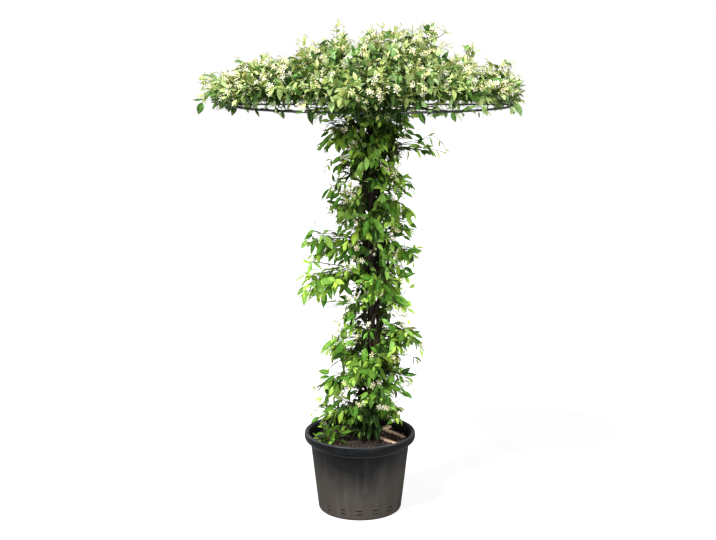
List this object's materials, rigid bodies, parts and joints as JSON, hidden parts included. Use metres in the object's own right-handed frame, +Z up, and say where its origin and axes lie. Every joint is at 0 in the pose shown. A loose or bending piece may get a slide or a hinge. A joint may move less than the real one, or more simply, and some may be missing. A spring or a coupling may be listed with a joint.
{
  "type": "potted standard star jasmine",
  "caption": "Climbing star jasmine trained up a stake onto a round umbrella frame, in a round nursery pot; stands on its flat base.",
  "frame": {"origin": "centre of the pot's underside, on the surface that the pot stands on", "axes": "+Z up along the stake, -Y towards the picture's viewer, +X to the viewer's right"},
  "size_m": [1.4258, 1.4016, 2.1607],
  "materials": {
    "pot": "matt black moulded plastic under a film of dry dust, bluish black at the rim",
    "soil": "damp dark red-brown potting mix with bark bits",
    "lath": "raw pale pine",
    "stake": "dark stained round stake",
    "frame_rod": "black coated steel rod",
    "bark": "rough brown woody stem",
    "head_foliage": "glossy mid-green and yellow-green leaves with cream star flowers",
    "column_foliage": "glossy green leaves with a bluish sheen and a few cream star flowers"
  },
  "bodies": {
    "root": {"head_crown": "head_foliage", "head_edge_1": "head_foliage", "head_edge_10": "head_foliage", "head_edge_11": "head_foliage", "head_edge_12": "head_foliage", "head_edge_2": "head_foliage", "head_edge_3": "head_foliage", "head_edge_4": "head_foliage", "head_edge_5": "head_foliage", "head_edge_6": "head_foliage", "head_edge_7": "head_foliage", "head_edge_8": "head_foliage", "head_edge_9": "head_foliage", "head_middle_1": "head_foliage", "head_middle_2": "head_foliage", "head_middle_3": "head_foliage", "head_middle_4": "head_foliage", "head_middle_5": "head_foliage", "head_middle_6": "head_foliage", "hub_plate": "frame_rod", "lath_1": "lath", "lath_2": "lath", "lath_3": "lath", "leafy_shoot_1": "column_foliage", "leafy_shoot_10": "column_foliage", "leafy_shoot_11": "column_foliage", "leafy_shoot_12": "column_foliage", "leafy_shoot_13": "column_foliage", "leafy_shoot_14": "column_foliage", "leafy_shoot_15": "column_foliage", "leafy_shoot_16": "column_foliage", "leafy_shoot_17": "column_foliage", "leafy_shoot_18": "column_foliage", "leafy_shoot_19": "column_foliage", "leafy_shoot_2": "column_foliage", "leafy_shoot_20": "column_foliage", "leafy_shoot_21": "column_foliage", "leafy_shoot_22": "column_foliage", "leafy_shoot_3": "column_foliage", "leafy_shoot_4": "column_foliage", "leafy_shoot_5": "column_foliage", "leafy_shoot_6": "column_foliage", "leafy_shoot_7": "column_foliage", "leafy_shoot_8": "column_foliage", "leafy_shoot_9": "column_foliage", "outreach_shoot": "column_foliage", "pot": "pot", "ring": "frame_rod", "soil": "soil", "soil_sprig": "column_foliage", "spoke_1": "frame_rod", "spoke_2": "frame_rod", "spoke_3": "frame_rod", "spoke_4": "frame_rod", "spoke_5": "frame_rod", "spoke_6": "frame_rod", "stake": "stake", "stem_1": "bark", "stem_2": "bark", "stem_3": "bark"}
  },
  "joints": []
}
